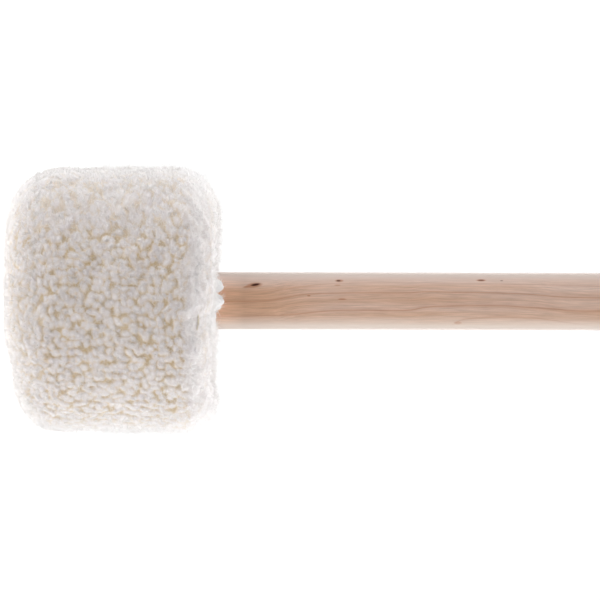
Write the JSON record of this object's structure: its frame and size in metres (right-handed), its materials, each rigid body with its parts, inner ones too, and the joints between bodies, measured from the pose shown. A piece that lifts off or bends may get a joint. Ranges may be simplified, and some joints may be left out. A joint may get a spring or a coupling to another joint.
{
  "type": "gong mallet",
  "caption": "Large soft gong mallet: weighted round core under felt, foam and a curly fleece cover, on a straight wooden handle; stands on its flat front.",
  "frame": {"origin": "middle of the flat front of the head, on the surface that the mallet stands on, on the handle's axis", "axes": "+Z along the handle from the head to the butt; +Y towards the seam that closes the fleece round the head's side"},
  "size_m": [0.102, 0.1019, 0.368],
  "materials": {
    "maple": "light pinkish tan maple, smooth sanded with a thin satin finish",
    "core_wood": "turned hardwood, unfinished",
    "weight_steel": "turned steel",
    "zinc_steel": "zinc plated steel",
    "wool_felt": "dense grey wool felt",
    "pad_foam": "soft open cell foam",
    "muslin": "plain unbleached muslin",
    "waxed_thread": "waxed linen thread",
    "wool_fleece": "off-white curly fleece with a warm tan ground between the curls"
  },
  "bodies": {
    "root": {"handle": "maple", "core": "core_wood", "weight_ring": "weight_steel", "core_washer": "zinc_steel", "core_screw": "zinc_steel", "cross_pin": "zinc_steel", "felt_wrap": "wool_felt", "front_felt_disc": "wool_felt", "rear_felt_ring": "wool_felt", "foam_wrap": "pad_foam", "front_foam_disc": "pad_foam", "rear_foam_ring": "pad_foam", "muslin_liner": "muslin", "liner_tie": "waxed_thread", "drawstring": "waxed_thread", "front_seam_thread": "waxed_thread", "rear_seam_thread": "waxed_thread", "side_seam_thread": "waxed_thread", "fleece_front_panel": "wool_fleece", "fleece_side_panel": "wool_fleece", "fleece_rear_panel": "wool_fleece"}
  },
  "joints": []
}
